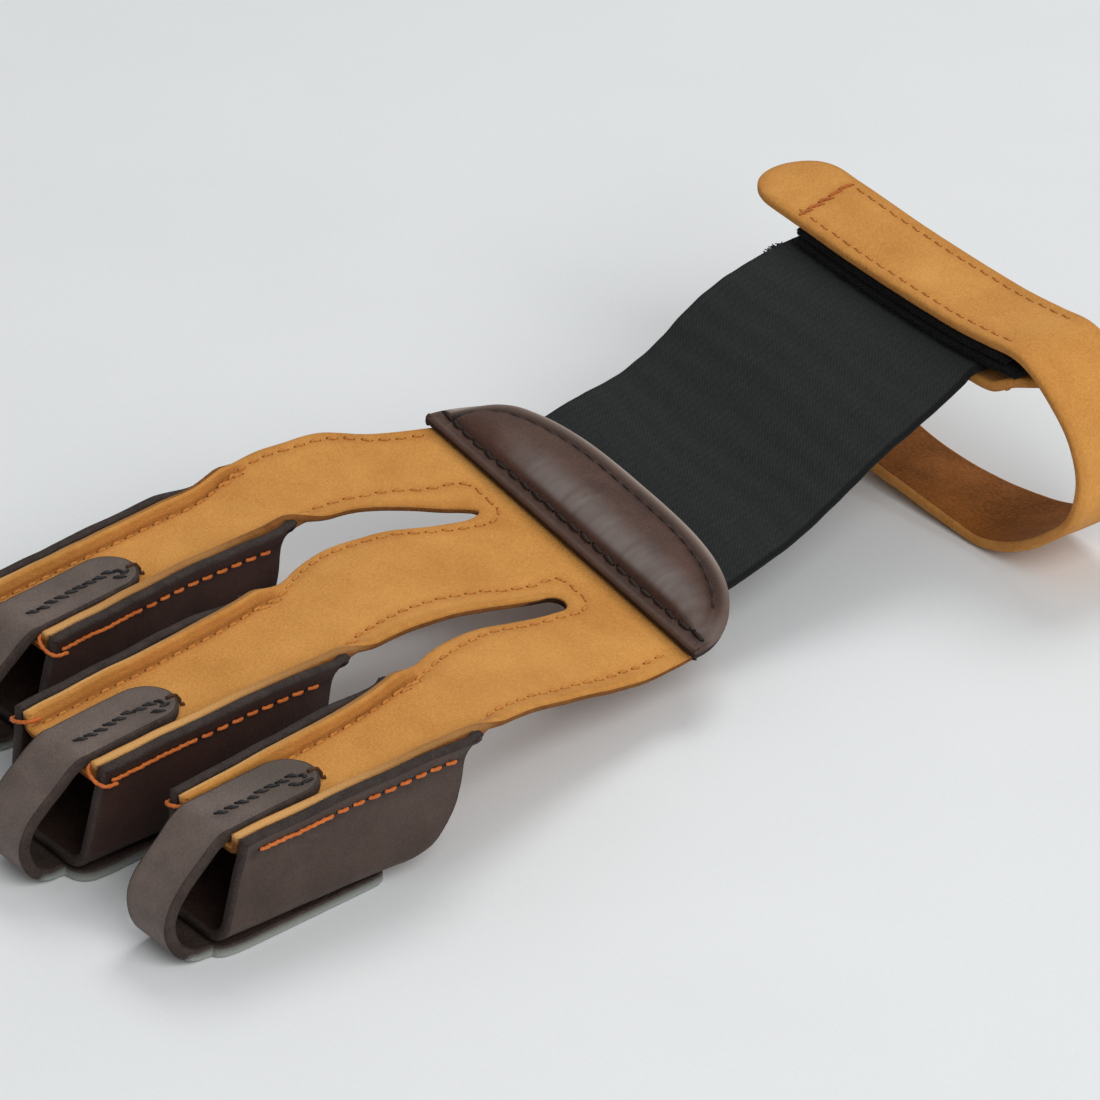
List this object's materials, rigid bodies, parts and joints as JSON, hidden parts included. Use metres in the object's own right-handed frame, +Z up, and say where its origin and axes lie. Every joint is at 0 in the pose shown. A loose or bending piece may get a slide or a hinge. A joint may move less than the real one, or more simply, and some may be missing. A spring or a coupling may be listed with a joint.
{
  "type": "shooting glove",
  "caption": "Leather shooting glove: slotted back panel with stitched finger stalls, fingertip straps, a wrist patch, an elastic band and a closed hook-and-loop wrist strap",
  "frame": {"origin": "middle of the footprint, on the surface the glove lies on", "axes": "+Z up out of the back of the glove, +Y from the fingertips to the wrist, +X across the fingers"},
  "size_m": [0.0948, 0.2031, 0.0424],
  "materials": {
    "tan_leather": "matt nubuck, tan",
    "strap_leather": "matt nubuck, tan, brown inside",
    "stall_leather": "dark brown, low sheen",
    "tip_leather": "grey brown, soft sheen",
    "patch_leather": "dark brown, soft sheen",
    "elastic": "black woven elastic, matt",
    "tape": "black hook and loop tape, matt"
  },
  "bodies": {
    "root": {"back_panel": "tan_leather", "finger_stall_far": "stall_leather", "finger_stall_middle": "stall_leather", "finger_stall_near": "stall_leather", "tip_strap_far": "tip_leather", "tip_strap_middle": "tip_leather", "tip_strap_near": "tip_leather", "wrist_patch": "patch_leather", "elastic_strap": "elastic", "wrist_strap": "strap_leather", "hook_tape": "tape", "loop_tape": "tape"}
  },
  "joints": []
}
